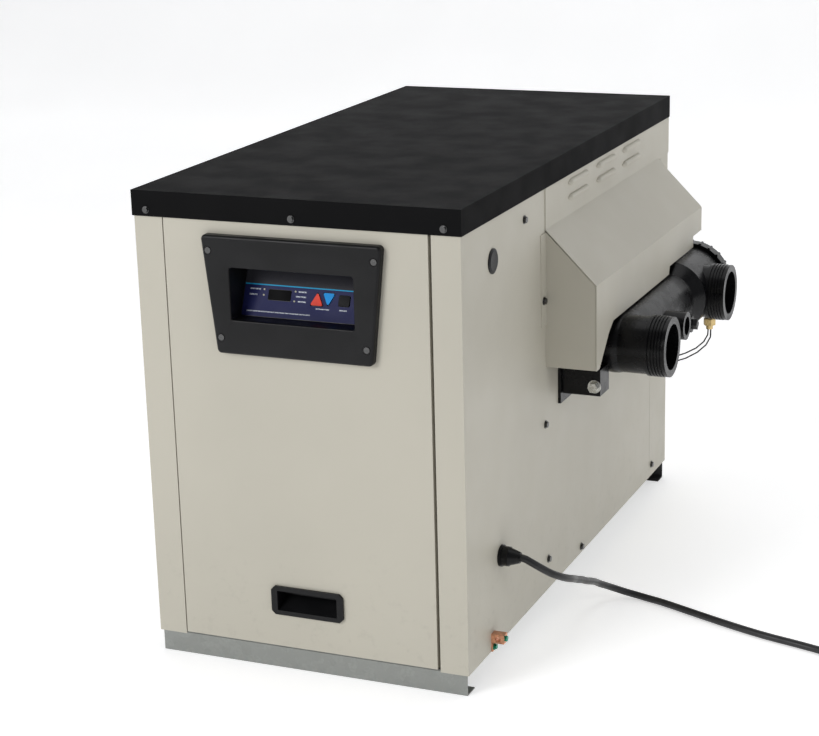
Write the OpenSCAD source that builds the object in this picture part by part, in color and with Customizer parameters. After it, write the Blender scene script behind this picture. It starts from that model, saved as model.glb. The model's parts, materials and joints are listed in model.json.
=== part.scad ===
// Pool and spa heater: sheet-metal cabinet, plastic water header, gas train, heat exchanger and blower.
// +Z is up, +X is the water-connection side and -Y is the front with the control panel.
// The origin is on the floor, at the centre of the four anchor holes in the base rails.

/* [Cabinet] */
// Width of the cabinet across its front
cab_w = 430; // [420:1:445]
// Depth of the cabinet from front to back
cab_d = 860; // [850:1:880]
// Height of the cabinet's lower edge above the floor, which is the height of the base rails
cab_bottom = 28; // [24:1:32]
// Height of the lid's lower edge
cab_top = 578; // [570:1:590]
// Height of the lid's down-turned flange
lid_h = 32; // [28:1:40]
// Thickness of the sheet metal
sheet = 1.2; // [1.0:0.1:1.5]

/* [Front door] */
// Width of the left front column
left_column = 38.5; // [36:0.5:42]
// Width of the right front column
right_column = 37; // [34:0.5:40]
// Depth of the door pan
door_depth = 18; // [14:1:20]

/* [Control panel] */
// How far the bezel stands out of the door
bezel_out = 11; // [8:1:14]
// Angle at which the keypad leans back
key_tilt = 24; // [20:1:28]
// Travel of each key
key_travel = 0.8; // [0.5:0.1:1.0]

/* [Water header] */
// Height of the water connections
port_z = 348; // [344:1:352]
// Distance of each union's face from the cabinet's centre line
port_face = 352; // [346:1:358]
// Position along the cabinet of the front union
port_front = -21; // [-25:1:-17]
// Position along the cabinet of the rear union
port_rear = 286; // [282:1:290]
// Radius of the bore in each union
port_bore = 31; // [28:0.5:32]

/* [Header cover] */
// How far the cover stands out from the cabinet
cover_out = 69.5; // [68:0.5:72]
// Height of the bend where the cover starts to slope outwards
cover_bend = 524; // [520:1:528]
// Height of the cover's lower edge at its front end
cover_low = 341; // [339:1:343]

/* [Cord] */
// Diameter of the supply cord
cord_d = 9.6; // [9:0.1:10]

/* [Hidden] */
$fn = 48;

eps = 0.01;                       // overshoot of every cut
half_w = cab_w / 2;
half_d = cab_d / 2;
front = -half_d;                  // plane of the front columns and the door
lid_top = cab_top + lid_h;
panel_top = lid_top - 6;          // top edge of the panels, inside the lid
lid_gap = 0.8;                    // room between the panels and the lid's flange

door_left = -half_w + left_column + 1.5;
door_right = half_w - right_column - 4;
door_low = cab_bottom + 3;
door_top = cab_top + 2.5;

// The keypad's own frame has its origin at the middle of the keypad, with its normal along local +Z
key_y = front + 29;
key_z = 491.5;
key_up = 39;                      // half of the keypad's length up the slope

wrap_y = 342;                     // front edge of the rear panel's wrap round the sides
cover_front = -138;               // front and rear ends of the header cover
cover_rear = 373;
cover_face = half_w + cover_out;
cover_slope_end = cover_bend - cover_out;

screw_head = 5.5;
screw_high = 3.6;
panel_screw_places = [[-215, 553], [-141, 263], [-133, 71], [7, 37], [353, 46]];
cover_screw_place = [-147, 432];
lid_screw_x = [-197, 0, 195];
lid_screw_z = cab_top + 8;
plug_place = [-328, 526];
cord_y = -313;                    // where the supply cord leaves
cord_z = 143;
gas_y = -250;                     // gas supply pipe
gas_z = 155;
relief_port_y = 88;
sensor_x = 322;
lead_y = 150;                     // grommet of the sensor leads
lead_z = 267;

manifold_x = 276;                 // centre line of the header's body
flange_out = 4;                   // thickness of the header's flange
tube_y = [for (i = [0:5]) -30 + 64 * i];
burner_x = [for (i = [0:5]) -140 + 56 * i];
burner_z = 110;
igniter_x = -150;
manifold_y = -150;
blower_y = 130;
duct_x = 52;
duct_z = 461;
duct_r = 50;
hinge_y = front + 8;              // axis on which the door tilts
hinge_z = cab_top - 1;

// Route of the supply cord up to its coil
cord_route = [
  [241, -313, 143], [248, -313, 142], [264, -310, 133], [277, -300, 122], [286, -286, 113],
  [289, -269, 105], [288, -245, 95], [286, -222, 85], [284, -198, 75], [282, -174, 64],
  [280, -150, 54], [279, -127, 44], [279, -110, 35], [283, -91, 25], [291, -78, 17],
  [304, -69, 10], [320, -66, 6], [335, -69, 5], [354, -75, 5], [374, -83, 5],
  [397, -93, 5], [425, -105, 5], [454, -117, 5], [482, -128, 5], [517, -140, 5],
  [554, -150, 5], [591, -161, 5], [620, -172, 5], [648, -184, 5], [676, -196, 5]
];
coil_at = [688, -262];
coil_r = 55;                      // middle of the coil's turns
coil_wide = 12.5;
coil_high = 32;
plug_at = [750, -336];            // middle of the plug, whose blades point to the front

// ---- shared shapes ----

// A plate in the X-Z plane from y0, growing towards +Y
module plate_y(x0, x1, y0, z0, z1, t = sheet) translate([x0, y0, z0]) cube([x1 - x0, t, z1 - z0]);

// A plate in the Y-Z plane from x0, growing towards +X
module plate_x(x0, y0, y1, z0, z1, t = sheet) translate([x0, y0, z0]) cube([t, y1 - y0, z1 - z0]);

// A plate in the X-Y plane from z0, growing upwards
module plate_z(x0, x1, y0, y1, z0, t = sheet) translate([x0, y0, z0]) cube([x1 - x0, y1 - y0, t]);

// A box given by its two corners
module block(low, high) translate(low) cube(high - low);

// Cylinders along X and Y that start at a point
module rod_x(x0, x1, y, z, r) translate([x0, y, z]) rotate([0, 90, 0]) cylinder(r = r, h = x1 - x0);
module rod_y(x, y0, y1, z, r) translate([x, y0, z]) rotate([-90, 0, 0]) cylinder(r = r, h = y1 - y0);
module rod_z(x, y, z0, z1, r) translate([x, y, z0]) cylinder(r = r, h = z1 - z0);

// A tube along X
module tube_x(x0, x1, y, z, r, bore) difference() {
  rod_x(x0, x1, y, z, r);
  rod_x(x0 - 1, x1 + 1, y, z, bore);
}

// Flat rectangle with round corners, centred
module round_rect(w, h, r) {
  square([w - 2 * r, h], center = true);
  square([w, h - 2 * r], center = true);
  for (x = [-1, 1], y = [-1, 1]) translate([x * (w / 2 - r), y * (h / 2 - r)]) circle(r = r, $fn = 24);
}

// Hexagon or washer-head screw that points along -Z, with its seat at z = 0
module screw(head = screw_head, high = screw_high, shank = 2, long = 8) {
  cylinder(r = head, h = 1);
  translate([0, 0, 1]) cylinder(r = head * 0.78, h = high - 1, $fn = 6);
  translate([0, 0, -long]) cylinder(r = shank, h = long, $fn = 16);
}

// Puts children on the outside of the right side, with local +Z pointing out
module on_right(y, z, x = half_w) translate([x, y, z]) rotate([0, 90, 0]) children();
module on_left(y, z, x = -half_w) translate([x, y, z]) rotate([0, -90, 0]) children();
module on_front(x, z, y = front) translate([x, y, z]) rotate([90, 0, 0]) children();
module on_rear(x, z, y = half_d) translate([x, y, z]) rotate([-90, 0, 0]) children();

// The keypad's own frame: X to the right, Y up the slope, Z out of the face
module on_keypad() translate([0, key_y, key_z]) rotate([90 - key_tilt, 0, 0]) children();

// Rounded polygon: every corner of pts becomes an arc of radius r with n steps
function unit(v) = v / norm(v);
function corner(a, b, c, r, n) =
  let (u = unit(a - b), w = unit(c - b), half = acos(u * w) / 2, m = unit(u + w))
  let (centre = b + m * r / sin(half), t0 = b + u * r / tan(half), t1 = b + w * r / tan(half))
  let (a0 = atan2(t0.y - centre.y, t0.x - centre.x), a1 = atan2(t1.y - centre.y, t1.x - centre.x))
  let (turn = (a1 - a0 + 540) % 360 - 180)
  [for (i = [0:n]) centre + r * [cos(a0 + turn * i / n), sin(a0 + turn * i / n)]];
function rounded(pts, r, n = 6) = [
  for (i = [0:len(pts) - 1])
    each corner(pts[(i + len(pts) - 1) % len(pts)], pts[i], pts[(i + 1) % len(pts)], r, n)
];

// Tube swept along points, with a fixed number of sides; up is a direction the route never takes
function along(p, i) = unit(p[min(i + 1, len(p) - 1)] - p[max(i - 1, 0)]);
function ring(p, i, r, sides, up) =
  let (t = along(p, i), u = unit(cross(t, up)), v = cross(t, u))
  [for (k = [0:sides - 1]) p[i] + r * (u * cos(360 * k / sides) + v * sin(360 * k / sides))];
module sweep(p, r, sides = 10, up = [0, 0, 1]) {
  last = (len(p) - 1) * sides;
  polyhedron(
    points = [for (i = [0:len(p) - 1]) each ring(p, i, r, sides, up)],
    faces = [
      [for (k = [0:sides - 1]) k],
      [for (k = [sides - 1:-1:0]) last + k],
      for (i = [0:len(p) - 2], k = [0:sides - 1])
        let (a = i * sides, b = a + sides, n = (k + 1) % sides)
        each [[a + k, b + k, b + n], [a + k, b + n, a + n]]
    ]
  );
}

// ---- cabinet ----

module lid() color("#1c1c1e") {
  x = half_w + lid_gap + sheet;
  y = half_d + lid_gap + sheet;
  plate_z(-x, x, -y, y, lid_top - sheet);
  plate_y(-x, x, -y, cab_top, lid_top);
  plate_y(-x, x, y - sheet, cab_top, lid_top);
  plate_x(-x, -y, y, cab_top, lid_top);
  plate_x(x - sheet, -y, y, cab_top, lid_top);
}

// Front return of a side panel: the column beside the door, with its inner flange
module column(x0, x1, inner) {
  plate_y(x0, x1, front, cab_bottom, panel_top);
  plate_x(inner, front, front + door_depth, cab_bottom + 1.5, panel_top);
}

module left_panel() color("#c9c5b6") difference() {
  union() {
    plate_x(-half_w, front, wrap_y, cab_bottom, panel_top);
    column(-half_w, -half_w + left_column, -half_w + left_column - sheet);
  }
  rod_x(-half_w - 1, -half_w + 3, gas_y, gas_z, 16);
  rod_x(-half_w - 1, -half_w + 3, plug_place.x, plug_place.y, 13);
}

module right_panel() color("#c9c5b6") difference() {
  union() {
    plate_x(half_w - sheet, front, wrap_y, cab_bottom, panel_top);
    column(half_w - right_column, half_w, half_w - right_column);
  }
  block([half_w - 3, -72, port_z - 36], [half_w + 1, 332, port_z + 36]);
  rod_x(half_w - 3, half_w + 1, plug_place.x, plug_place.y, 13);
  rod_x(half_w - 3, half_w + 1, cord_y, cord_z, 9);
  rod_x(half_w - 3, half_w + 1, lead_y, lead_z, 6);
}

module rear_panel() color("#c9c5b6") difference() {
  union() {
    plate_y(-half_w, half_w, half_d - sheet, cab_bottom, panel_top);
    plate_x(-half_w, wrap_y + 0.6, half_d, cab_bottom, panel_top);
    plate_x(half_w - sheet, wrap_y + 0.6, half_d, cab_bottom, panel_top);
  }
  rod_y(duct_x, half_d - 3, half_d + 1, duct_z, duct_r + 4);
  for (i = [0:5], s = [-1, 1]) translate([s * 90, half_d, 110 + 26 * i]) cube([110, 10, 6], center = true);
}

// Cross rail under the lid, with a cradle in which the door's rolled lip turns
module top_rail() color("#9a9c9c") {
  plate_y(-150, 150, front + 12, hinge_z - 3.6, cab_top + 2 + eps);
  plate_z(-150, 150, hinge_y - 1, front + 12 + eps, hinge_z - 3.6);
  plate_y(-half_w + left_column + 1, half_w - right_column - 1, front + 12, cab_top + 2, panel_top);
  plate_z(-half_w + left_column + 1, half_w - right_column - 1, front + 12, front + 34, panel_top - sheet);
}

module base_pan() color("#b4b8b8") {
  x = half_w - sheet - 0.3;
  plate_z(-x, x, front + 4, half_d - 3, cab_bottom);
  plate_x(-x, front + 24, half_d - 3, cab_bottom, cab_bottom + 20);
  plate_x(x - sheet, front + 24, half_d - 3, cab_bottom, cab_bottom + 20);
}

// Folded foot rail with anchor holes in its lower flange; way is 1 at the front and -1 at the rear
module foot_rail(way) {
  x = half_w - 3;
  y = half_d - 3;
  web = [-way * y, -way * (y - sheet)];
  flange = [-way * y, -way * (y - 24)];
  difference() {
    union() {
      block([-x, min(web), 0], [x, max(web), cab_bottom]);
      block([-x, min(flange), 0], [x, max(flange), 1.6]);
      block([-x, min(flange), cab_bottom - sheet], [x, max(flange), cab_bottom]);
    }
    for (s = [-1, 1]) translate([s * 180, -way * (y - 13), -1]) cylinder(r = 4.5, h = 5);
  }
}

module front_rail() color("#bfc4c4") foot_rail(1);
module rear_rail() color("#3a3b3c") foot_rail(-1);

// ---- header cover ----

// Outline of the bent cover sheet in X-Z
cover_profile = [
  [half_w, cab_top - 0.6], [half_w + sheet, cab_top - 0.6], [half_w + sheet, cover_bend],
  [cover_face, cover_slope_end], [cover_face, cover_low], [cover_face - sheet, cover_low],
  [cover_face - sheet, cover_slope_end - 0.5], [half_w, cover_bend - 0.5]
];

// Opening for the water connections, in Y-Z
notch_top = port_z + 71;
cover_notch = [
  [cover_front + 12, cover_low - 5], [cover_front + 12, cover_low],
  [-85, port_z + 32], [-66, port_z + 43], [198, port_z + 43], [202, port_z + 54.5], [327, port_z + 54.5],
  [327, notch_top], [cover_rear + 5, notch_top], [cover_rear + 5, cover_low - 5]
];

louvre_y = [-48, 73, 193];
louvre_z = [547, 567];
louvre_long = 84;

module louvre_slot(y, z) translate([half_w + sheet / 2, y + louvre_long / 2, z - 1.5])
  cube([4, louvre_long - 18, 3], center = true);

// Pressed hood with tapered ends, open below
module louvre_hood(y, z) translate([half_w + sheet - eps, y, z]) difference() {
  union() {
    translate([0, 8, 0]) rotate([-90, 0, 0]) cylinder(r = 4.5, h = louvre_long - 16);
    translate([0, 0.5, 0]) rotate([-90, 0, 0]) cylinder(r1 = 1, r2 = 4.5, h = 7.51);
    translate([0, louvre_long - 8.01, 0]) rotate([-90, 0, 0]) cylinder(r1 = 4.5, r2 = 1, h = 7.51);
  }
  translate([-20, -1, -20]) cube([20, louvre_long + 2, 40]);
  translate([-1, 8, -1]) rotate([-90, 0, 0]) cylinder(r = 3.6, h = louvre_long - 16);
  translate([-1, -1, -20]) cube([20, louvre_long + 2, 17.5]);
}

module header_cover() color("#c5c1b2") {
  difference() {
    translate([0, cover_rear, 0]) rotate([90, 0, 0])
      linear_extrude(cover_rear - cover_front) polygon(cover_profile);
    translate([cover_face - 5, 0, 0]) rotate([90, 0, 90]) linear_extrude(10) polygon(cover_notch);
    for (y = louvre_y, z = louvre_z) louvre_slot(y, z);
  }
  plate_x(half_w, cover_rear - eps, half_d, cover_bend, cab_top - 0.6);
  for (y = louvre_y, z = louvre_z) louvre_hood(y, z);
}

// End wall of the cover, with the flange that screws to the side panel
module cover_end(y, flange_y0, flange_y1) {
  inset = 1.7;
  translate([0, y + sheet, 0]) rotate([90, 0, 0]) linear_extrude(sheet) polygon([
    [half_w + 0.1, cover_bend - inset * 1.5], [cover_face - inset, cover_slope_end - inset * 0.5],
    [cover_face - inset, cover_low], [half_w + 0.1, cover_low]
  ]);
  translate([half_w, flange_y0, 398]) cube([sheet, flange_y1 - flange_y0, cover_bend - 4 - 398]);
}

module cover_ends() color("#8d8979") {
  cover_end(cover_front + 0.4, cover_front - 18, cover_front + 0.4 + eps);
  difference() {
    cover_end(cover_rear - sheet - 0.4, cover_rear + 0.2, cover_rear + 18);
    block([cover_face - 46, cover_rear - 5, cover_low - 1], [cover_face + 1, cover_rear + 0.1, notch_top]);
  }
}

// ---- front door ----

module front_door() color("#c9c5b6") difference() {
  union() {
    plate_y(door_left, door_right, front, door_low, door_top);
    plate_x(door_left, front, front + door_depth, door_low, cab_top - 2);
    plate_x(door_right - sheet, front, front + door_depth, door_low, cab_top - 2);
    plate_z(door_left, door_right, front, front + door_depth, door_low);
    plate_z(-160, 160, front, hinge_y, hinge_z - 0.6);
    rod_x(-160, 160, hinge_y, hinge_z, 2);
  }
  block([-86.5, front - 1, 453.5], [86.5, front + 3, 529.5]);
  block([-44.5, front - 1, 77.5], [44.5, front + 3, 110.5]);
}

bezel_outline = [[-119.5, 562], [119.5, 562], [103.5, 414.5], [-103.5, 414.5]];
bezel_screw_places = [[-109.5, 543], [109.5, 543], [-97, 435], [97, 435]];

module control_bezel() color("#1d1d1f") difference() {
  union() {
    translate([0, front, 0]) rotate([90, 0, 0])
      linear_extrude(bezel_out - 3) polygon(rounded(bezel_outline, 7));
    translate([0, front - bezel_out + 3, 0]) rotate([90, 0, 0])
      linear_extrude(1.8) polygon(rounded(bezel_outline * 0.988 + [for (p = bezel_outline) [0, 5.86]], 6));
    translate([0, front - bezel_out + 1.2, 0]) rotate([90, 0, 0])
      linear_extrude(1.2) polygon(rounded(bezel_outline * 0.972 + [for (p = bezel_outline) [0, 13.67]], 5));
    translate([-85, 0, 0]) rotate([90, 0, 90]) linear_extrude(170) polygon([
      [front - 1, 455], [key_y - 14, 455], [key_y + 19, 528], [front - 1, 528]
    ]);
  }
  translate([-82, 0, 0]) rotate([90, 0, 90]) linear_extrude(164) polygon([
    [front - 20, 458], [key_y - 14, 458], [key_y + 15, 523.2], [front - 20, 523.2]
  ]);
  on_keypad() translate([0, 0, -10]) cube([200, 120, 20], center = true);
  for (p = bezel_screw_places) on_front(p.x, p.y, front - bezel_out - 1)
    cylinder(r = 5, h = 6, center = true);
}

up_shape = rounded([[9.5, -17.6], [17.9, -1.2], [26.3, -17.6]], 1.6, 4);
down_shape = rounded([[24.9, -1.4], [40.7, -1.4], [33, -17.6]], 1.6, 4);
mode_shape = rounded([[46.5, -3], [61, -3], [61, -16], [46.5, -16]], 2, 4);
up_pocket = rounded([[8.2, -18.6], [17.9, 0.5], [27.6, -18.6]], 1.6, 4);
down_pocket = rounded([[23.6, -0.6], [42, -0.6], [33, -19.2]], 1.6, 4);
mode_pocket = rounded([[45.9, -2.4], [61.6, -2.4], [61.6, -16.6], [45.9, -16.6]], 2.4, 4);
display_at = [-33, -8.5];
light_places = [[-54.5, -2.5], [-54.5, -9.5], [-12.4, -2.5], [-12.4, -14.5]];

module key_pockets(depth) {
  for (shape = [up_pocket, down_pocket, mode_pocket])
    translate([0, 0, -depth]) linear_extrude(depth + 2) polygon(shape);
}

module keypad_panel() color("#26262a") on_keypad() difference() {
  translate([0, 0, -4]) linear_extrude(4) round_rect(170, 2 * key_up + 1, 2);
  key_pockets(1.9);
}

module keypad_overlay() color("#2c3358") on_keypad() difference() {
  translate([0, -1.6, 0]) linear_extrude(0.4) round_rect(162, 2 * key_up - 9, 1.5);
  translate([0, 0, -1]) key_pockets(1);
  translate([display_at.x, display_at.y, -1]) linear_extrude(3) square([31, 14], center = true);
  for (p = light_places) translate([p.x, p.y, -1]) cylinder(r = 1.3, h = 3, $fn = 16);
}

module display_window() color("#0c0c0d") on_keypad() translate([display_at.x, display_at.y, 0])
  linear_extrude(0.8) round_rect(30, 13, 1.5);

module indicator_lights() color("#d8d2a0") on_keypad()
  for (p = light_places) translate([p.x, p.y, 0]) cylinder(r = 1.1, h = 0.8, $fn = 16);

module key(shape) on_keypad() translate([0, 0, -0.9]) linear_extrude(2.6) polygon(shape);
module up_button() color("#d8433c") key(up_shape);
module down_button() color("#1d8fd0") key(down_shape);
module mode_button() color("#2a2a2c") key(mode_shape);

module bezel_screws() color("#2b2b2d")
  for (p = bezel_screw_places) on_front(p.x, p.y, front - bezel_out + 2) {
    cylinder(r = 4, h = 2.2);
    translate([0, 0, -18]) cylinder(r = 1.8, h = 18, $fn = 16);
  }

// Recessed pull: a flange with bowed long edges and a scoop behind it
module bowed(w, h, bow) {
  r = (w * w / 4 + bow * bow) / (2 * bow);
  square([w, h], center = true);
  intersection() {
    union() for (s = [-1, 1]) translate([0, s * (h / 2 + bow - r)]) circle(r = r, $fn = 180);
    square([w, h + 2 * bow], center = true);
  }
}

module door_handle() color("#232325") difference() {
  union() {
    on_front(0, 94) linear_extrude(3.4) difference() {
      bowed(99, 34, 2);
      for (x = [-1, 1], y = [-1, 1]) translate([x * 49.5, y * 19]) rotate(45) square(7, center = true);
    }
    block([-43.5, front - 1, 78.5], [43.5, front + 24, 109.5]);
  }
  translate([-41, 0, 0]) rotate([90, 0, 90]) linear_extrude(82) polygon([
    [front - 8, 81], [front - 1, 81], [front + 21.5, 94], [front + 21.5, 107], [front - 8, 107]
  ]);
}

// ---- fasteners ----

module lid_screws() color("#1c1c1e") {
  for (x = lid_screw_x) {
    on_front(x, lid_screw_z, front - lid_gap - sheet) screw(4.6, 3, 1.6, 16);
    on_rear(-x, lid_screw_z, half_d + lid_gap + sheet) screw(4.6, 3, 1.6, 6);
  }
}

module panel_screws() color("#232325") {
  for (p = panel_screw_places) {
    on_right(p.x, p.y) screw();
    on_left(p.x, p.y) screw();
  }
  on_right(cover_screw_place.x, cover_screw_place.y, half_w + sheet) screw();
  on_right(cover_rear + 9, cover_screw_place.y, half_w + sheet) screw();
}

module hole_plug() {
  cylinder(r = 15.6, h = 1.2);
  translate([0, 0, 1.2 - eps]) cylinder(r1 = 15.6, r2 = 12.5, h = 1.4);
  translate([0, 0, -5]) difference() {
    cylinder(r = 12.8, h = 5 + eps);
    translate([0, 0, -1]) cylinder(r = 11, h = 5);
  }
}

module hole_plugs() color("#2c2c2a") {
  on_right(plug_place.x, plug_place.y) hole_plug();
  on_left(plug_place.x, plug_place.y) hole_plug();
}

// ---- supply cord and bonding lug ----

module strain_relief() color("#161617") on_right(cord_y, cord_z) difference() {
  union() {
    cylinder(r = 14, h = 3);
    translate([0, 0, 3 - eps]) cylinder(r = 12.5, h = 9);
    translate([0, 0, 12 - 2 * eps]) cylinder(r1 = 11.5, r2 = 7, h = 14);
    translate([0, 0, -9]) cylinder(r = 8.6, h = 9 + eps);
  }
  translate([0, 0, -10]) cylinder(r = cord_d / 2 + 0.6, h = 12);
}

module power_cord() color("#141415") sweep(cord_route, cord_d / 2, 10);

module cord_coil() color("#141415") translate([coil_at.x, coil_at.y, 0.2]) rotate_extrude($fn = 64)
  translate([coil_r - coil_wide, 0]) square([2 * coil_wide, coil_high]);

module cord_plug() color("#1b1b1c") translate([plug_at.x, plug_at.y, 0]) rotate(-90) {
  block([-20, -14, 0.4], [20, 14, 26]);
  translate([-20 + eps, 0, 13]) rotate([0, -90, 0]) cylinder(r1 = 10, r2 = 6, h = 24);
}

module plug_blades() color("#c9b56a") translate([plug_at.x, plug_at.y - 20, 13]) rotate(-90) {
  for (s = [-1, 1]) block([0, s * 6.35 - 0.75, 0.8], [17, s * 6.35 + 0.75, 7.2]);
  translate([0, 0, -6.5]) rotate([0, 90, 0]) cylinder(r = 2.4, h = 20, $fn = 24);
}

lug_y = -346;
lug_z = 44;

module bonding_lug() color("#b8714e") difference() {
  union() {
    block([half_w, lug_y - 6, lug_z - 16], [half_w + 2, lug_y + 6, lug_z + 8]);
    block([half_w + 2 - eps, lug_y - 6, lug_z - 4], [half_w + 17, lug_y + 6, lug_z + 8]);
  }
  rod_y(half_w + 9, lug_y - 7, lug_y + 7, lug_z + 2, 3.5);
}

module lug_screws() {
  color("#2c7a66") on_right(lug_y, lug_z - 11, half_w + 2) screw(4.4, 3.4, 1.8, 7);
  color("#a9adad") on_right(lug_y, lug_z + 2, half_w + 17) {
    cylinder(r = 3.6, h = 2.4);
    translate([0, 0, -4]) cylinder(r = 2.4, h = 4 + eps, $fn = 20);
  }
}

// ---- water header ----

module union_port(y) {
  rod_x(manifold_x, port_face - 2, y, port_z, 39);
  rod_x(port_face - 28.5, port_face - 24, y, port_z, 41);
  for (i = [0:3]) rod_x(port_face - 21.5 + 4.2 * i, port_face - 19.3 + 4.2 * i, y, port_z, 41);
  rod_x(port_face - 4, port_face, y, port_z, 40.6);
}

header_in = half_w - 3.5;         // where the header meets the tube sheet
header_out = half_w + 4.5;
header_r = 40.5;
chamber_r = 53;
wall_y = 103;                     // dividing wall between the two water chambers
wall_t = 14;

module header_body() color("#17171a") difference() {
  union() {
    block([header_out, -84, port_z - 50], [250, 338, port_z + 42]);
    block([header_out, -84, port_z - 58], [272, -46, port_z - 22]);
    translate([manifold_x, port_front, port_z]) sphere(r = header_r);
    rod_y(manifold_x, port_front, 215, port_z, header_r);
    translate([manifold_x, 214.9, port_z]) rotate([-90, 0, 0])
      cylinder(r1 = header_r, r2 = chamber_r, h = 20);
    rod_y(manifold_x, 234.8, 338, port_z, chamber_r);
    block([header_in, -70, port_z - 34], [header_out + 1, 330, port_z + 34]);
    union_port(port_front);
    union_port(port_rear);
    rod_x(manifold_x, 342, relief_port_y, port_z, 19.5);
    rod_x(manifold_x, 318, 178, port_z - 22, 14);
  }
  translate([manifold_x, port_front, port_z]) sphere(r = 34);
  rod_y(manifold_x, port_front, wall_y, port_z, 34);
  rod_y(manifold_x, wall_y + wall_t, 339, port_z, 34);
  rod_y(manifold_x, wall_y - 1, wall_y + wall_t + 1, port_z, 17);
  rod_x(manifold_x, port_face + 1, port_front, port_z, port_bore);
  rod_x(manifold_x, port_face + 1, port_rear, port_z, port_bore);
  rod_x(manifold_x, 343, relief_port_y, port_z, 13);
  rod_z(sensor_x, port_rear, port_z - 45, port_z, 5);
  block([header_in - 1, -40, port_z - 22], [manifold_x, 86, port_z + 22]);
  block([header_in - 1, 124, port_z - 22], [manifold_x, 320, port_z + 22]);
}

flange_bolt_y = [-30, 66, 180, 318];

module header_flange() color("#1a1a1c") difference() {
  block([half_w, -90, port_z - 71], [half_w + flange_out, 337, port_z + 84]);
  block([half_w - 1, -71, port_z - 35], [half_w + flange_out + 1, 331, port_z + 35]);
}

module header_bolts() color("#b3b3ae") {
  for (y = flange_bolt_y, z = [port_z - 60, port_z + 64])
    on_right(y, z, half_w + flange_out) screw(9, 9, 4, 14);
  translate([264, -84, port_z - 45]) rotate([90, 0, 0]) screw(9, 9, 3.6, 6);
}

module bypass_cap() color("#17171a") {
  difference() {
    union() {
      rod_y(manifold_x, 338.4, 357, port_z, 57.8);
      translate([manifold_x, 356.9, port_z]) rotate([-90, 0, 0]) cylinder(r1 = 54, r2 = 48, h = 5);
      rod_y(manifold_x, 322, 338.5, port_z, 33.9);
      for (i = [0:23]) translate([manifold_x, 340, port_z]) rotate([-90, 15 * i, 0])
        translate([57.5, 0, 0]) cylinder(r = 2.2, h = 16, $fn = 16);
    }
    rod_y(manifold_x, 321, 350, port_z, 28);
  }
  difference() {
    rod_y(manifold_x, 325, 350.5, port_z, 9);
    rod_y(manifold_x, 324, 350, port_z, 5.05);
  }
}

// Disc that closes the port in the dividing wall, with the stem that slides in the cap
module bypass_valve() color("#c8ccc8") {
  rod_y(manifold_x, wall_y + wall_t + 0.05, wall_y + wall_t + 5, port_z, 24);
  rod_y(manifold_x, wall_y + wall_t + 5 - eps, 331, port_z, 5);
}

spring_low = wall_y + wall_t + 5.9;
spring_high = 349.2;
spring_turns = 12;
spring_route = [
  for (i = [0:spring_turns * 10]) let (a = 36 * i)
    [manifold_x + 13 * cos(a), spring_low + (spring_high - spring_low) * a / (360 * spring_turns),
     port_z + 13 * sin(a)]
];

module bypass_spring() color("#b9bcbc") sweep(spring_route, 0.8, 6, [0, 1, 0]);

module drain_plug() color("#1f1f22") on_right(178, port_z - 22, 318) {
  cylinder(r = 12, h = 7);
  translate([0, 0, 7 - eps]) cylinder(r = 7.5, h = 8, $fn = 4);
}

module temperature_sensor() color("#b08d3c") {
  rod_z(sensor_x, port_rear, port_z - 41.4, port_z - 31.4, 4.9);
  translate([sensor_x, port_rear, port_z - 51]) cylinder(r = 9, h = 9.7, $fn = 6);
  rod_z(sensor_x, port_rear, port_z - 57, port_z - 51 + eps, 5);
}

lead_routes = [
  [[320, 286, 290.7], [320, 284, 282], [316, 277, 273], [308, 264, 266], [297, 247, 262], [284, 227, 260],
   [270, 206, 260], [256, 186, 262], [243, 168, 265], [230, 155, 267], [218, 150, 267]],
  [[324, 286, 290.6], [325, 281, 280], [321, 271, 270], [312, 256, 262], [300, 238, 257], [286, 219, 255],
   [271, 199, 256], [256, 180, 259], [242, 163, 264], [230, 152, 268], [218, 148, 269]]
];

module sensor_leads() color("#1a1a1a") for (route = lead_routes) sweep(route, 1.1, 8, [1, -1, 0]);

module lead_grommet() color("#202022") difference() {
  union() {
    rod_x(half_w, half_w + 3.8, lead_y, lead_z, 8);
    rod_x(half_w - 4, half_w + 0.1, lead_y, lead_z, 5.6);
  }
  rod_x(half_w - 5, half_w + 4.8, lead_y, lead_z, 4.6);
}

// ---- heat exchanger and burners ----

sheet_right = half_w - 12;

module heat_exchanger() color("#b87a54") {
  difference() {
    union() {
      block([sheet_right, -82, port_z - 44], [half_w - 3.5, 342, port_z + 44]);
      block([-192, -62, port_z - 30], [-186, 322, port_z + 30]);
    }
    for (y = tube_y) rod_x(-200, half_w, y, port_z, 11);
  }
  for (y = tube_y) tube_x(-192, half_w - 3.5, y, port_z, 11, 9.6);
}

module exchanger_fins() color("#c58a62") difference() {
  for (i = [0:19]) translate([-176 + 19 * i, -60, port_z - 22]) cube([1.2, 380, 44]);
  for (y = tube_y) rod_x(-200, half_w, y, port_z, 11.3);
}

module return_header() color("#3a3c3e") difference() {
  block([-212, -62, port_z - 30], [-192.2, 322, port_z + 30]);
  block([-208, -56, port_z - 22], [-190, 316, port_z + 22]);
}

module chamber_walls(x0, x1, y0, y1, z0, z1, t) {
  plate_x(x0, y0, y1, z0, z1, t);
  plate_x(x1 - t, y0, y1, z0, z1, t);
  plate_y(x0 + t - eps, x1 - t + eps, y0, z0, z1, t);
  plate_y(x0 + t - eps, x1 - t + eps, y1 - t, z0, z1, t);
}

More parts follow.
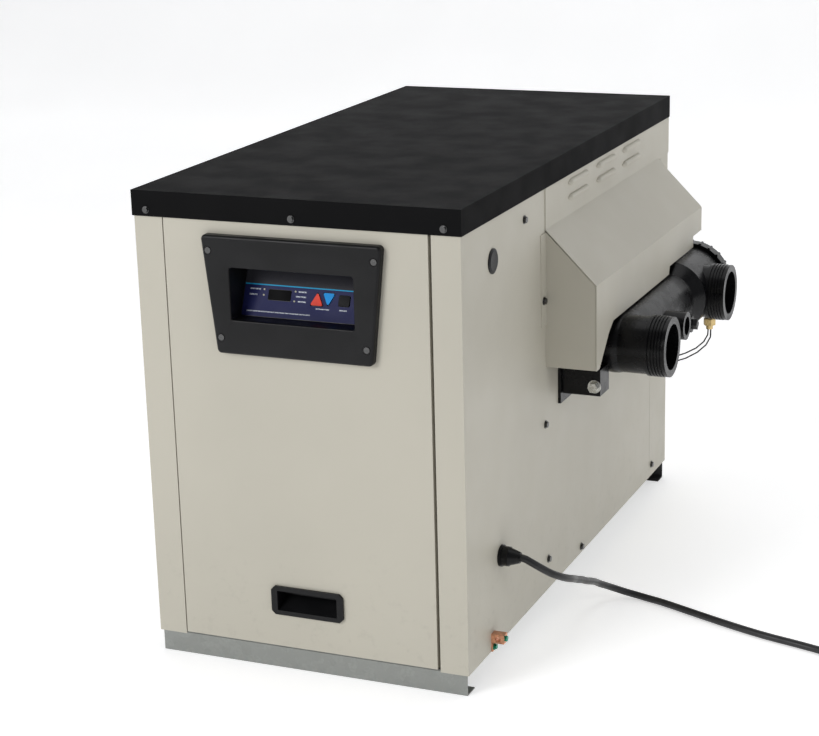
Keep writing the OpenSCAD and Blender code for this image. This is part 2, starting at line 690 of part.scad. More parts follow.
module combustion_chamber() color("#9fa3a3") difference() {
  union() {
    chamber_walls(-180, 196, -70, 330, 60, 294, 1.5);
    for (y = [-70, 328.5]) plate_y(-180, 196, y, 294 - eps, port_z + 45.8, 1.5);
    for (x = [-180, 176], y = [-70, 310]) block([x, y, cab_bottom + 1.4], [x + 20, y + 20, 60 + eps]);
  }
  for (x = burner_x) rod_y(x, -75, -60, burner_z, 15);
  rod_y(igniter_x, -75, -60, 150, 6);
}

module chamber_insulation() color("#e6e2d8") difference() {
  chamber_walls(-178, 194, -68, 328, 62, 292, 18);
  for (x = burner_x) rod_y(x, -75, -40, burner_z, 16);
  rod_y(igniter_x, -75, -40, 150, 7);
}

module burner_tubes() color("#8f9496") for (x = burner_x) difference() {
  union() {
    rod_y(x, -110, 300, burner_z, 13);
    translate([x, -118, burner_z]) rotate([-90, 0, 0]) cylinder(r1 = 17, r2 = 13, h = 8.1);
  }
  rod_y(x, -119, 298, burner_z, 11.5);
  for (i = [0:12]) translate([x, -20 + 22 * i, burner_z + 14]) cube([3, 14, 10], center = true);
}

module gas_manifold() color("#6f7375") {
  difference() {
    rod_x(-165, 165, manifold_y, burner_z, 11);
    rod_x(-160, 160, manifold_y, burner_z, 8);
  }
  rod_z(-10, manifold_y, burner_z + 9, valve_low.z, 9);
  for (x = burner_x) rod_y(x, manifold_y + 10.5, manifold_y + 26, burner_z, 4.5);
}

knob_x = -26;
valve_low = [-56, manifold_y - 26, burner_z + 18];
valve_high = [34, manifold_y + 26, burner_z + 68];

module gas_valve() color("#8a8d90") difference() {
  union() {
    block(valve_low, valve_high);
    rod_z(knob_x, manifold_y, valve_high.z - eps, valve_high.z + 7, 3);
    rod_z(14, manifold_y, valve_high.z - eps, valve_high.z + 14, 11);
  }
  rod_x(-57, -36, manifold_y, gas_z, 13.15);
}

module gas_valve_knob() color("#c23a30") translate([knob_x, manifold_y, valve_high.z + 0.5]) difference() {
  union() {
    cylinder(r = 13, h = 9, $fn = 32);
    translate([-2.5, -13, 9 - eps]) cube([5, 26, 5]);
  }
  translate([0, 0, -1]) cylinder(r = 3.05, h = 8.5);
}

// Supply pipe with an elbow: it enters through the left side and turns to the valve
module gas_inlet_pipe() color("#3b3d3f") difference() {
  union() {
    rod_x(-half_w - 30, -150, gas_y, gas_z, 13.35);
    rod_x(-half_w - 4, -half_w, gas_y, gas_z, 20);
    block([-167, gas_y - 17, gas_z - 17], [-133, gas_y + 17, gas_z + 17]);
    rod_y(-150, gas_y, manifold_y, gas_z, 13.35);
    block([-167, manifold_y - 17, gas_z - 17], [-133, manifold_y + 17, gas_z + 17]);
    rod_x(-150, -36.2, manifold_y, gas_z, 13.1);
  }
  rod_x(-half_w - 31, -151, gas_y, gas_z, 10.4);
}

module flame_igniter() color("#d9d4c8") {
  rod_y(igniter_x, -88, -20, 150, 4.5);
  rod_y(igniter_x, -100, -88 + eps, 150, 8);
}

module control_box() color("#5c6166") {
  block([-half_w + sheet, -400, 330], [-half_w + 46, -230, 430]);
  for (i = [0:3]) block([-half_w + 46 - eps, -385 + 38 * i, 345], [-half_w + 54, -365 + 38 * i, 415]);
}

module transformer() color("#4d4f52") {
  block([130, -300, cab_bottom + sheet], [190, -240, 80]);
  block([122, -288, 36], [198, -252, 72]);
}

// ---- flue, blower and vent ----

module flue_collector() color("#9fa3a3") difference() {
  union() {
    chamber_walls(-180, 196, -60, 320, port_z + 46, 404, 1.5);
    plate_z(-180, 196, -60, 320, 404 - eps, 1.5);
    rod_z(0, blower_y, 404, 418, 46);
  }
  rod_z(0, blower_y, 400, 420, 44);
}

// Spiral outline of the blower's scroll
scroll_start = 78;
scroll_growth = 26;
scroll = [for (a = [0:10:350]) (scroll_start + scroll_growth * a / 360) * [cos(a + 10), sin(a + 10)]];

module scroll_shape(grow) polygon([for (p = scroll) p * (1 + grow / norm(p))]);

module blower_housing() color("#8c9092") translate([0, blower_y, 0]) difference() {
  union() {
    translate([0, 0, 418]) linear_extrude(84) scroll_shape(2);
    block([4, 0, 418], [duct_x * 2 - 4, 190, 502]);
    rod_y(duct_x, 189, 262, duct_z, duct_r - 3);
  }
  translate([0, 0, 420]) linear_extrude(80) scroll_shape(0);
  block([6, 1, 420], [duct_x * 2 - 6, 188, 500]);
  rod_y(duct_x, 187, 263, duct_z, duct_r - 6);
  rod_z(0, 0, 417, 430, 40);
  rod_z(0, 0, 499, 503, 8);
}

module blower_wheel() color("#a9adaf") translate([0, blower_y, 0]) {
  rod_z(0, 0, 488, 490, 66);
  difference() {
    rod_z(0, 0, 426, 428, 66);
    rod_z(0, 0, 425, 429, 54);
  }
  for (i = [0:23]) rotate(15 * i) translate([55, -0.6, 427]) cube([10, 1.2, 62]);
  rod_z(0, 0, 470, 516, 4);
}

module blower_motor() color("#2f3236") translate([0, blower_y, 0]) difference() {
  union() {
    rod_z(0, 0, 502, 508, 52);
    rod_z(0, 0, 508 - eps, 560, 40);
    for (i = [0:7]) rotate(45 * i) block([38, -1.2, 512], [45, 1.2, 552]);
  }
  rod_z(0, 0, 501, 520, 4.05);
}

module vent_collar() color("#a4a8a8") {
  difference() {
    rod_y(duct_x, half_d, half_d + 1.6, duct_z, 66);
    rod_y(duct_x, half_d - 1, half_d + 3, duct_z, duct_r + 0.2);
  }
  difference() {
    rod_y(duct_x, blower_y + 245, half_d + 22, duct_z, duct_r + 1);
    rod_y(duct_x, blower_y + 240, half_d + 23, duct_z, duct_r);
  }
  for (i = [-3:3]) let (w = sqrt(pow(duct_r + 0.6, 2) - pow(12 * abs(i) + 1.2, 2)))
    plate_z(duct_x - w, duct_x + w, half_d + 14, half_d + 16.4, duct_z + i * 12 - 1.2, 2.4);
}

module pressure_switch() color("#3f4348") {
  on_left(-60, 470, -half_w + 27) cylinder(r = 28, h = 27 - sheet);
  on_left(-60, 470, -half_w + 27) translate([0, 0, -10]) cylinder(r = 16, h = 10 + eps);
  translate([-half_w + 17, -60, 430]) rod_z(0, 0, 0, 14, 3);
}

lid();
left_panel();
right_panel();
rear_panel();
top_rail();
base_pan();
front_rail();
rear_rail();
header_cover();
cover_ends();
front_door();
control_bezel();
keypad_panel();
keypad_overlay();
display_window();
indicator_lights();
up_button();
down_button();
mode_button();
bezel_screws();
door_handle();
lid_screws();
panel_screws();
hole_plugs();
strain_relief();
power_cord();
cord_coil();
cord_plug();
plug_blades();
bonding_lug();
lug_screws();
header_body();
header_flange();
header_bolts();
bypass_cap();
bypass_valve();
bypass_spring();
drain_plug();
temperature_sensor();
sensor_leads();
lead_grommet();
heat_exchanger();
exchanger_fins();
return_header();
combustion_chamber();
chamber_insulation();
burner_tubes();
gas_manifold();
gas_valve();
gas_valve_knob();
gas_inlet_pipe();
flame_igniter();
control_box();
transformer();
flue_collector();
blower_housing();
blower_wheel();
blower_motor();
vent_collar();
pressure_switch();
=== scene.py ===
import json
import math

import bmesh
import bpy
from mathutils import Matrix, Vector


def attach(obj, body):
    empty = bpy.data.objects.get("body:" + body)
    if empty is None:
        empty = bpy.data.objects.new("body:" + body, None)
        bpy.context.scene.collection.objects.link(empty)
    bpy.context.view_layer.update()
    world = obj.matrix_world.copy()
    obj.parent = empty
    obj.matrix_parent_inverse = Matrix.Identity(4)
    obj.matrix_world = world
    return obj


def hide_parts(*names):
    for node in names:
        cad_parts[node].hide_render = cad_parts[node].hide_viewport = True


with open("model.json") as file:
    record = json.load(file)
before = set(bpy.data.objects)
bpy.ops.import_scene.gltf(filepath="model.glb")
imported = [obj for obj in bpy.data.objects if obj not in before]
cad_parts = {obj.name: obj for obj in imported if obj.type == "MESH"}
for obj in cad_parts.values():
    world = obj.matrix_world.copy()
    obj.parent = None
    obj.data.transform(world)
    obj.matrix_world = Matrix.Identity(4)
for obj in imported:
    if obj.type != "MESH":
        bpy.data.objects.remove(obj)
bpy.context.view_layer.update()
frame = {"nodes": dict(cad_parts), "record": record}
nodes = frame["nodes"]
scene = bpy.context.scene

# Planes and angles shared with the CAD part, in metres and radians
DOOR_FRONT = -0.430
BEZEL_FACE = -0.441
KEY_TILT = math.radians(24)
KEY_Y, KEY_Z = -0.401, 0.4915

# ---------------------------------------------------------------- camera

# Fitted to the photo's straight edges: metres, degrees, and millimetres on a 36 mm sensor
CAMERA = {"pos": (1.0633, -2.5586, 1.0931), "azimuth": 23.29, "elevation": 16.31, "roll": -1.53,
          "lens": 89.83}


def camera_at(pos, azimuth, elevation, roll, lens):
    a, b, c = (math.radians(v) for v in (azimuth, elevation, roll))
    back = Vector((math.sin(a) * math.cos(b), -math.cos(a) * math.cos(b), math.sin(b)))
    right = (-back).cross(Vector((0, 0, 1))).normalized()
    up = right.cross(-back)
    right2 = right * math.cos(c) + up * math.sin(c)
    up2 = up * math.cos(c) - right * math.sin(c)
    data = bpy.data.cameras.new("camera")
    data.sensor_width, data.lens = 36, lens
    data.clip_start, data.clip_end = 0.05, 60
    cam = bpy.data.objects.new("camera", data)
    scene.collection.objects.link(cam)
    cam.matrix_world = Matrix((
        (right2.x, up2.x, back.x, pos[0]), (right2.y, up2.y, back.y, pos[1]),
        (right2.z, up2.z, back.z, pos[2]), (0, 0, 0, 1)))
    return cam


scene.camera = camera_at(**CAMERA)

# ---------------------------------------------------------------- small mesh helpers


def link(obj):
    scene.collection.objects.link(obj)
    return obj


def smooth(obj, angle=35):
    """Smooth shading, with every edge sharper than angle kept sharp."""
    mesh = obj.data
    mesh.shade_smooth()
    bpy.context.view_layer.update()
    bm = bmesh.new()
    bm.from_mesh(mesh)
    limit = math.radians(angle)
    for e in bm.edges:
        e.smooth = len(e.link_faces) == 2 and e.calc_face_angle(4) < limit
    bm.to_mesh(mesh)
    bm.free()


def curve_piece(name, points, radius):
    """A round tube along the points."""
    data = bpy.data.curves.new(name, "CURVE")
    data.dimensions, data.bevel_depth, data.bevel_resolution = "3D", radius, 6
    data.use_fill_caps = True
    spline = data.splines.new("POLY")
    spline.points.add(len(points) - 1)
    for p, co in zip(spline.points, points):
        p.co = (*co, 1)
    return link(bpy.data.objects.new(name, data))


def catmull(points, step):
    """A smooth line through the points, with a point about every step metres."""
    pts = [Vector(p) for p in points]
    pts = [2 * pts[0] - pts[1]] + pts + [2 * pts[-1] - pts[-2]]
    out = []
    for i in range(1, len(pts) - 2):
        p0, p1, p2, p3 = pts[i - 1:i + 3]
        n = max(2, round((p2 - p1).length / step))
        for k in range(n):
            t = k / n
            out.append(0.5 * (2 * p1 + (p2 - p0) * t + (2 * p0 - 5 * p1 + 4 * p2 - p3) * t * t
                              + (3 * p1 - p0 - 3 * p2 + p3) * t ** 3))
    return out + [pts[-2]]


# ---------------------------------------------------------------- supply cord

CORD_D = 0.0096
ROUTE = [
    (0.241, -0.313, 0.143), (0.248, -0.313, 0.142), (0.264, -0.310, 0.133), (0.277, -0.300, 0.122),
    (0.286, -0.286, 0.113), (0.289, -0.269, 0.105), (0.288, -0.245, 0.095), (0.286, -0.222, 0.085),
    (0.284, -0.198, 0.075), (0.282, -0.174, 0.064), (0.280, -0.150, 0.054), (0.279, -0.127, 0.044),
    (0.279, -0.110, 0.035), (0.283, -0.091, 0.025), (0.291, -0.078, 0.017), (0.304, -0.069, 0.010),
    (0.320, -0.066, 0.006), (0.335, -0.069, 0.005), (0.354, -0.075, 0.005), (0.374, -0.083, 0.005),
    (0.397, -0.093, 0.005), (0.425, -0.105, 0.005), (0.454, -0.117, 0.005), (0.482, -0.128, 0.005),
    (0.517, -0.140, 0.005), (0.554, -0.150, 0.005), (0.591, -0.161, 0.005), (0.620, -0.172, 0.005),
    (0.648, -0.184, 0.005), (0.676, -0.196, 0.005),
]
COIL = (0.688, -0.262)
COIL_R = 0.0575
TURNS = 2.86
BEFORE_PLUG, PLUG = (0.7485, -0.279, 0.018), (0.750, -0.292, 0.013)
CORD_STEP = 0.006


def coil_points():
    """Turns laid over each other on the floor, clockwise from where the route meets them."""
    start = math.radians(67)
    n = round(TURNS * 24)
    out = []
    for i in range(n + 1):
        t = i / n
        a = start - TURNS * 2 * math.pi * t
        r = COIL_R - 0.0035 * math.sin(math.pi * 2 * t) + 0.002 * math.sin(3 * a)
        z = 0.005 + 0.0205 * t
        out.append((COIL[0] + r * math.cos(a), COIL[1] + r * math.sin(a), z))
    return out


cord_line = catmull(ROUTE[:-1] + coil_points() + [BEFORE_PLUG, PLUG], CORD_STEP)
cord = curve_piece("supply_cord", cord_line, CORD_D / 2)

# ---------------------------------------------------------------- materials


def new_material(name):
    mat = bpy.data.materials.new(name)
    mat.use_nodes = True
    tree = mat.node_tree
    tree.nodes.clear()
    out = tree.nodes.new("ShaderNodeOutputMaterial")
    shader = tree.nodes.new("ShaderNodeBsdfPrincipled")
    tree.links.new(shader.outputs[0], out.inputs[0])
    return mat, tree, shader


class Graph:
    """A thin layer over a node tree, for short material recipes."""

    def __init__(self, name):
        self.mat, self.tree, self.shader = new_material(name)
        self.coords = self.tree.nodes.new("ShaderNodeTexCoord").outputs["Object"]

    def set(self, node, **values):
        for key, value in values.items():
            key = key.replace("_", " ")
            if isinstance(value, bpy.types.NodeSocket):
                self.tree.links.new(value, node.inputs[key])
            else:
                node.inputs[key].default_value = value

    def noise(self, scale, detail=4.0, rough=0.5, stretch=None):
        n = self.tree.nodes.new("ShaderNodeTexNoise")
        self.set(n, Scale=scale, Detail=detail, Roughness=rough)
        self.tree.links.new(self.stretched(stretch) if stretch else self.coords, n.inputs["Vector"])
        return n.outputs["Fac"]

    def cells(self, scale, out="Distance"):
        n = self.tree.nodes.new("ShaderNodeTexVoronoi")
        self.set(n, Scale=scale)
        self.tree.links.new(self.coords, n.inputs["Vector"])
        return n.outputs[out]

    def stretched(self, scale):
        m = self.tree.nodes.new("ShaderNodeMapping")
        m.inputs["Scale"].default_value = scale
        self.tree.links.new(self.coords, m.inputs["Vector"])
        return m.outputs[0]

    def ramp(self, value, low, high, start=0.3, end=0.7):
        n = self.tree.nodes.new("ShaderNodeMapRange")
        n.interpolation_type = "SMOOTHSTEP"
        self.set(n, From_Min=start, From_Max=end, To_Min=low, To_Max=high)
        self.tree.links.new(value, n.inputs["Value"])
        return n.outputs[0]

    def mix(self, fac, a, b):
        n = self.tree.nodes.new("ShaderNodeMix")
        n.data_type = "RGBA"
        for socket, value in ((n.inputs[0], fac), (n.inputs[6], a), (n.inputs[7], b)):
            if isinstance(value, bpy.types.NodeSocket):
                self.tree.links.new(value, socket)
            else:
                socket.default_value = value if isinstance(value, float) else (*value[:3], 1)
        return n.outputs[2]

    def math(self, op, a, b):
        n = self.tree.nodes.new("ShaderNodeMath")
        n.operation = op
        for socket, value in zip(n.inputs, (a, b)):
            if isinstance(value, bpy.types.NodeSocket):
                self.tree.links.new(value, socket)
            else:
                socket.default_value = value
        return n.outputs[0]

    def axis(self, which):
        n = self.tree.nodes.new("ShaderNodeSeparateXYZ")
        self.tree.links.new(self.coords, n.inputs[0])
        return n.outputs["XYZ".index(which)]

    def bump(self, height, strength, distance=0.001, normal=None):
        n = self.tree.nodes.new("ShaderNodeBump")
        self.set(n, Strength=strength, Distance=distance, Height=height)
        if normal:
            self.tree.links.new(normal, n.inputs["Normal"])
        return n.outputs[0]

    def finish(self, color, roughness, normal=None, metallic=0.0, **more):
        self.set(self.shader, Base_Color=color, Roughness=roughness, Metallic=metallic, **more)
        if normal:
            self.tree.links.new(normal, self.shader.inputs["Normal"])
        return self.mat


def shade(color, by):
    return tuple(max(0.0, min(1.0, c * by)) for c in color)


def powder_coat(name, color, rough=0.5, grain=900.0, strength=0.12, dirt=0.06, shine=0.5):
    """Painted sheet: fine orange peel, broad tone drift and a little grime low down."""
    g = Graph(name)
    broad = g.noise(3.2, 3.0)
    tone = g.mix(g.ramp(broad, 0.0, 1.0, 0.3, 0.7), shade(color, 0.965), shade(color, 1.03))
    low = g.ramp(g.axis("Z"), 1.0, 0.0, 0.03, 0.22)
    specks = g.ramp(g.noise(60.0, 6.0, 0.65), 0.0, 1.0, 0.52, 0.75)
    tone = g.mix(g.math("MULTIPLY", g.math("MULTIPLY", low, specks), dirt * 6), tone, shade(color, 0.72))
    rough_map = g.ramp(g.noise(18.0, 4.0), rough - 0.04, rough + 0.05)
    normal = g.bump(g.noise(grain, 3.0), strength, 0.0004)
    normal = g.bump(g.noise(9.0, 2.0), 0.10, 0.004, normal)
    return g.finish(tone, rough_map, normal, Specular_IOR_Level=shine)


def plastic(name, color, rough=0.42, grain=1400.0, strength=0.18, drift=0.2, shine=0.3):
    """Moulded plastic: fine cell grain and a slow drift of tone and gloss."""
    g = Graph(name)
    tone = g.mix(g.ramp(g.noise(22.0, 4.0), 0.0, 1.0), shade(color, 1 - drift), shade(color, 1 + drift))
    rough_map = g.ramp(g.noise(35.0, 5.0), rough - 0.06, rough + 0.08)
    normal = g.bump(g.cells(grain), strength, 0.0003)
    return g.finish(tone, rough_map, normal, Specular_IOR_Level=shine)


def metal(name, color, rough=0.35, brushed=(1.0, 1.0, 1.0), spangle=0.0, drift=0.1):
    """Bare or plated metal: streaks, and the flakes of a zinc coat where spangle is given."""
    g = Graph(name)
    streaks = g.noise(220.0, 3.0, stretch=brushed)
    tone = g.mix(g.ramp(streaks, 0.0, 1.0), shade(color, 1 - drift), shade(color, 1 + drift))
    rough_map = g.ramp(streaks, rough - 0.08, rough + 0.1)
    if spangle:
        flake = g.tree.nodes.new("ShaderNodeSeparateColor")
        g.tree.links.new(g.cells(spangle, "Color"), flake.inputs[0])
        tone = g.mix(g.ramp(flake.outputs[0], 0.0, 0.75, 0.0, 1.0), tone, shade(color, 0.92))
        rough_map = g.math("ADD", rough_map, g.ramp(flake.outputs[1], 0.0, 0.06, 0.0, 1.0))
    normal = g.bump(streaks, 0.12, 0.0003)
    return g.finish(tone, rough_map, normal, metallic=1.0)


def rubber(name, color, rough=0.5):
    """Cable jacket: matt, faintly mottled."""
    g = Graph(name)
    tone = g.mix(g.ramp(g.noise(30.0, 5.0), 0.0, 1.0), shade(color, 0.8), shade(color, 1.6))
    rough_map = g.ramp(g.noise(50.0, 4.0), rough - 0.08, rough + 0.12)
    return g.finish(tone, rough_map, g.bump(g.noise(1500.0, 2.0), 0.1, 0.0003))


BEIGE = (0.50, 0.475, 0.40)
MATERIALS = {
    "beige_paint": powder_coat("beige_paint", BEIGE, 0.46),
    "black_paint": powder_coat("black_paint", (0.007, 0.007, 0.0074), 0.62, 1300.0, 0.35, 0.0, 0.03),
    # Painted shade: the rear rail's near-black colour stands in for the shadow the rail lies in
    "dark_rail": powder_coat("dark_rail", (0.02, 0.02, 0.021), 0.5),
    "galvanised": metal("galvanised", (0.30, 0.31, 0.295), 0.45, spangle=90.0),
    "black_plastic": plastic("black_plastic", (0.006, 0.006, 0.0066), 0.36, 1500.0, 0.18, 0.2, 0.22),
    "header_plastic": plastic("header_plastic", (0.0035, 0.0035, 0.004), 0.27, 900.0, 0.05, 0.2, 0.22),
    "keypad_grey": plastic("keypad_grey", (0.016, 0.016, 0.022), 0.4),
    "display": plastic("display", (0.0025, 0.0025, 0.003), 0.35, 500.0, 0.02, 0.2, 0.02),
    "led": plastic("led", (0.42, 0.40, 0.30), 0.3),
    "red_key": plastic("red_key", (0.78, 0.06, 0.035), 0.38, shine=0.1),
    "blue_key": plastic("blue_key", (0.006, 0.28, 0.72), 0.38, shine=0.1),
    "black_key": plastic("black_key", (0.006, 0.006, 0.007), 0.38, shine=0.06),
    "dark_screw": metal("dark_screw", (0.09, 0.09, 0.09), 0.22),
    "zinc_screw": metal("zinc_screw", (0.60, 0.60, 0.57), 0.3),
    "green_screw": metal("green_screw", (0.03, 0.30, 0.20), 0.35),
    "cord_jacket": rubber("cord_jacket", (0.010, 0.010, 0.011), 0.42),
    "blade_brass": metal("blade_brass", (0.75, 0.60, 0.30), 0.3),
    "copper": metal("copper", (0.72, 0.36, 0.22), 0.38, drift=0.25),
    "sensor_brass": metal("sensor_brass", (0.66, 0.50, 0.24), 0.32),
    "lead_black": rubber("lead_black", (0.012, 0.012, 0.012), 0.4),
    "steel": metal("steel", (0.50, 0.51, 0.52), 0.4, (1.0, 1.0, 12.0)),
    "dark_steel": powder_coat("dark_steel", (0.03, 0.03, 0.032), 0.55, 500.0, 0.5),
    "insulation": powder_coat("insulation", (0.62, 0.60, 0.54), 0.9, 300.0, 0.8),
    "aluminium": metal("aluminium", (0.62, 0.63, 0.64), 0.42),
    "red_knob": plastic("red_knob", (0.5, 0.03, 0.025), 0.4),
    "ceramic": plastic("ceramic", (0.72, 0.70, 0.64), 0.2),
    "motor_paint": powder_coat("motor_paint", (0.03, 0.032, 0.036), 0.45),
    "spring_steel": metal("spring_steel", (0.5, 0.5, 0.52), 0.3),
}


def overlay_film():
    """Printed film on the tilted keypad: grey band above, cyan stripe, navy field, pale labels."""
    g = Graph("overlay_film")
    up = g.math("ADD", g.math("MULTIPLY", g.math("SUBTRACT", g.axis("Y"), KEY_Y), math.sin(KEY_TILT)),
                g.math("MULTIPLY", g.math("SUBTRACT", g.axis("Z"), KEY_Z), math.cos(KEY_TILT)))
    across = g.axis("X")
    dots = g.ramp(g.noise(900.0, 1.0), 0.25, 1.0, 0.42, 0.5)

    def band(value, low, high, edge=0.0002):
        rise = g.ramp(value, 0.0, 1.0, low - edge, low + edge)
        fall = g.ramp(value, 1.0, 0.0, high - edge, high + edge)
        return g.math("MULTIPLY", rise, fall)

    def patch(x0, x1, y0, y1):
        return g.math("MULTIPLY", band(across, x0, x1), band(up, y0, y1))

    navy, grey = (0.016, 0.019, 0.085), (0.035, 0.035, 0.042)
    tone = g.mix(g.ramp(up, 0.0, 1.0, 0.0035, 0.0038), navy, grey)
    tone = g.mix(band(up, 0.0026, 0.0040), tone, (0.02, 0.35, 0.62))
    white = (0.62, 0.66, 0.72)
    # centre and size of each pale dash that stands for a label
    for x, y, w, h in [(-0.0665, -0.0025, 0.014, 0.0016), (-0.0685, -0.0095, 0.011, 0.0016),
                       (-0.003, -0.0025, 0.011, 0.0016), (-0.0045, -0.0085, 0.014, 0.0016),
                       (-0.0025, -0.0145, 0.011, 0.0016), (0.0264, -0.0215, 0.018, 0.0014),
                       (0.0535, -0.0212, 0.010, 0.0016), (-0.032, -0.0300, 0.086, 0.0013)]:
        tone = g.mix(g.math("MULTIPLY", patch(x - w / 2, x + w / 2, y - h / 2, y + h / 2), dots), tone, white)
    rough = g.ramp(g.noise(40.0, 4.0), 0.20, 0.30)
    return g.finish(tone, rough, g.bump(g.noise(1800.0, 2.0), 0.06, 0.0002), Specular_IOR_Level=0.04)


MATERIALS["overlay_film"] = overlay_film()

slots = {s["node"]: s["material_slot"] for s in frame["record"]["subparts"]}
for name, obj in nodes.items():
    obj.data.materials.clear()
    obj.data.materials.append(MATERIALS[slots[name]])
    smooth(obj)

# ---------------------------------------------------------------- edges of the CAD pieces

# Width of the bevel on each CAD piece, in metres
BEVELS = {
    "lid": 0.0012, "front_door": 0.0006, "left_panel": 0.0005, "right_panel": 0.0005,
    "rear_panel": 0.0005, "header_cover": 0.0005, "cover_ends": 0.0004, "door_handle": 0.0010,
    "front_rail": 0.0004, "rear_rail": 0.0004, "hole_plugs": 0.0004, "strain_relief": 0.0005,
    "bonding_lug": 0.0005, "header_flange": 0.0010, "bypass_cap": 0.0007, "drain_plug": 0.0006,
    "up_button": 0.0004, "down_button": 0.0004, "mode_button": 0.0004, "display_window": 0.0003,
    "keypad_panel": 0.0003, "cord_plug": 0.0020, "plug_blades": 0.0003, "panel_screws": 0.0003,
    "lid_screws": 0.0003, "bezel_screws": 0.0011, "header_bolts": 0.0004, "header_body": 0.0007,
    "temperature_sensor": 0.0003, "vent_collar": 0.0004, "control_bezel": 0.0006,
}
for name, width in BEVELS.items():
    mod = nodes[name].modifiers.new("bevel", "BEVEL")
    mod.width, mod.segments, mod.limit_method, mod.angle_limit = width, 2, "ANGLE", math.radians(40)
    mod.harden_normals = True

# ---------------------------------------------------------------- control bezel with rounded edges


def arc_ring(corners, radius, inset, y, steps=8):
    """A ring of points in the X-Z plane at y: the polygon's corners rounded, then moved inwards by inset."""
    out = []
    n = len(corners)
    for i in range(n):
        a, b, c = (Vector(corners[(i + k) % n]) for k in (-1, 0, 1))
        u, w = (a - b).normalized(), (c - b).normalized()
        half = math.acos(max(-1.0, min(1.0, u.dot(w)))) / 2
        centre = b + (u + w).normalized() * radius / math.sin(half)
        t0, t1 = b + u * radius / math.tan(half) - centre, b + w * radius / math.tan(half) - centre
        a0, a1 = math.atan2(t0.y, t0.x), math.atan2(t1.y, t1.x)
        turn = (a1 - a0 + 3 * math.pi) % (2 * math.pi) - math.pi
        for k in range(steps + 1):
            at = a0 + turn * k / steps
            p = centre + (radius - inset) * Vector((math.cos(at), math.sin(at)))
            out.append((p.x, y, p.y))
    return out


def loft(name, rings):
    """A skin through rings that have the same number of points."""
    bm = bmesh.new()
    rows = [[bm.verts.new(p) for p in ring] for ring in rings]
    for a, b in zip(rows, rows[1:]):
        for i in range(len(a)):
            j = (i + 1) % len(a)
            bm.faces.new((a[i], a[j], b[j], b[i]))
    bmesh.ops.recalc_face_normals(bm, faces=bm.faces)
    mesh = bpy.data.meshes.new(name)
    bm.to_mesh(mesh)
    bm.free()
    return link(bpy.data.objects.new(name, mesh))


BEZEL_OUTER = [(-0.1195, 0.562), (-0.1035, 0.4145), (0.1035, 0.4145), (0.1195, 0.562)]
BEZEL_HOLE = [(-0.082, 0.5232), (-0.082, 0.458), (0.082, 0.458), (0.082, 0.5232)]
BEZEL_SCREWS = [(-0.1095, 0.543), (0.1095, 0.543), (-0.097, 0.435), (0.097, 0.435)]
CORNER, OUTER_EDGE = 0.0058, 0.0036      # radius of the outer corners, and of the outer edge
HOLE_CORNER, HOLE_EDGE = 0.003, 0.0016


def make_bezel():
    """Moulded frame round the keypad, with round edges and a funnel down to the tilted keypad."""
    rings = [arc_ring(BEZEL_OUTER, CORNER, 0, DOOR_FRONT)]
    for k in range(7):
        t = math.radians(15 * k)
        rings.append(arc_ring(BEZEL_OUTER, CORNER, OUTER_EDGE * (1 - math.cos(t)),
                              BEZEL_FACE + OUTER_EDGE * (1 - math.sin(t))))
    for k in range(5):
        t = math.radians(22.5 * k)
        rings.append(arc_ring(BEZEL_HOLE, HOLE_CORNER, -HOLE_EDGE * (1 - math.sin(t)),
                              BEZEL_FACE + HOLE_EDGE * (1 - math.cos(t))))
    rings.append([(x, KEY_Y + (z - KEY_Z) * math.tan(KEY_TILT), z) for x, _, z in rings[-1]])
    obj = loft("bezel", rings)
    cutters = []
    for x, z in BEZEL_SCREWS:
        bpy.ops.mesh.primitive_cylinder_add(
            vertices=32, radius=0.005, depth=0.006, location=(x, BEZEL_FACE - 0.001, z),
            rotation=(math.radians(90), 0, 0))
        cutters.append(bpy.context.object)
    mod = obj.modifiers.new("solid", "SOLIDIFY")
    mod.thickness, mod.offset = 0.0025, -1
    for c in cutters:
        cut = obj.modifiers.new("hole", "BOOLEAN")
        cut.operation, cut.object, cut.solver = "DIFFERENCE", c, "EXACT"
    bpy.context.view_layer.update()
    mesh = bpy.data.meshes.new_from_object(obj.evaluated_get(bpy.context.evaluated_depsgraph_get()))
    obj.modifiers.clear()
    obj.data = mesh
    for c in cutters:
        bpy.data.objects.remove(c)
    mesh.materials.clear()
    mesh.materials.append(MATERIALS["black_plastic"])
    smooth(obj, 30)
    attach(obj, "door")
    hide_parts("control_bezel")


make_bezel()
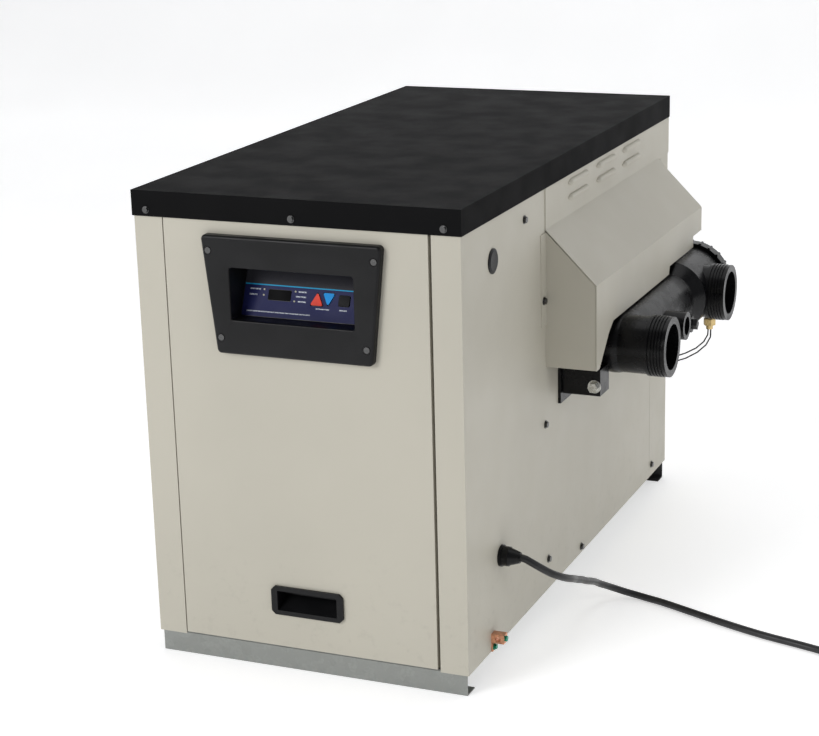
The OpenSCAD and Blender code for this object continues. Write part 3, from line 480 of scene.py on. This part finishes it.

# ---------------------------------------------------------------- supply cord in place of the CAD cord

cord.data.materials.append(MATERIALS["cord_jacket"])
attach(cord, "cabinet")
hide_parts("power_cord", "cord_coil")

# ---------------------------------------------------------------- floor and light


def floor_material():
    g = Graph("floor")
    tone = g.mix(g.ramp(g.noise(2.0, 3.0), 0.0, 1.0), (0.86, 0.86, 0.86), (0.90, 0.90, 0.90))
    return g.finish(tone, g.ramp(g.noise(12.0, 3.0), 0.75, 0.85), g.bump(g.noise(300.0, 3.0), 0.05, 0.0005),
                    Emission_Color=(1.0, 1.0, 1.0, 1.0), Emission_Strength=0.48)


def make_floor():
    mesh = bpy.data.meshes.new("floor")
    bm = bmesh.new()
    profile = [(-9, 0), (3.2, 0)]
    profile += [(3.2 + 1.4 * math.sin(a), 1.4 - 1.4 * math.cos(a)) for a in
                [math.radians(d) for d in range(10, 91, 10)]] + [(4.6, 7)]
    rows = [[bm.verts.new((x, y, z)) for y, z in profile] for x in (-9, 9)]
    for i in range(len(profile) - 1):
        bm.faces.new((rows[0][i], rows[1][i], rows[1][i + 1], rows[0][i + 1]))
    bm.to_mesh(mesh)
    bm.free()
    floor = link(bpy.data.objects.new("floor", mesh))
    mesh.shade_smooth()
    mesh.materials.append(floor_material())


make_floor()


def area_light(name, pos, target, size, power):
    data = bpy.data.lights.new(name, "AREA")
    data.shape, data.size, data.size_y, data.energy = "RECTANGLE", size[0], size[1], power
    obj = link(bpy.data.objects.new(name, data))
    obj.location = pos
    obj.rotation_euler = (Vector(target) - Vector(pos)).to_track_quat("-Z", "Y").to_euler()


area_light("key", (-1.5, -3.3, 1.85), (0, -0.2, 0.3), (1.5, 1.5), 63)
area_light("side", (3.2, -0.9, 1.9), (0.2, 0, 0.3), (1.8, 1.8), 15)
area_light("top", (0.2, 0.4, 3.4), (0, 0, 0), (2.6, 2.6), 24)

world = bpy.data.worlds.new("studio")
scene.world = world
world.use_nodes = True
world.node_tree.nodes["Background"].inputs[0].default_value = (0.93, 0.95, 1.0, 1)
world.node_tree.nodes["Background"].inputs[1].default_value = 0.22
scene.view_settings.view_transform = "Standard"
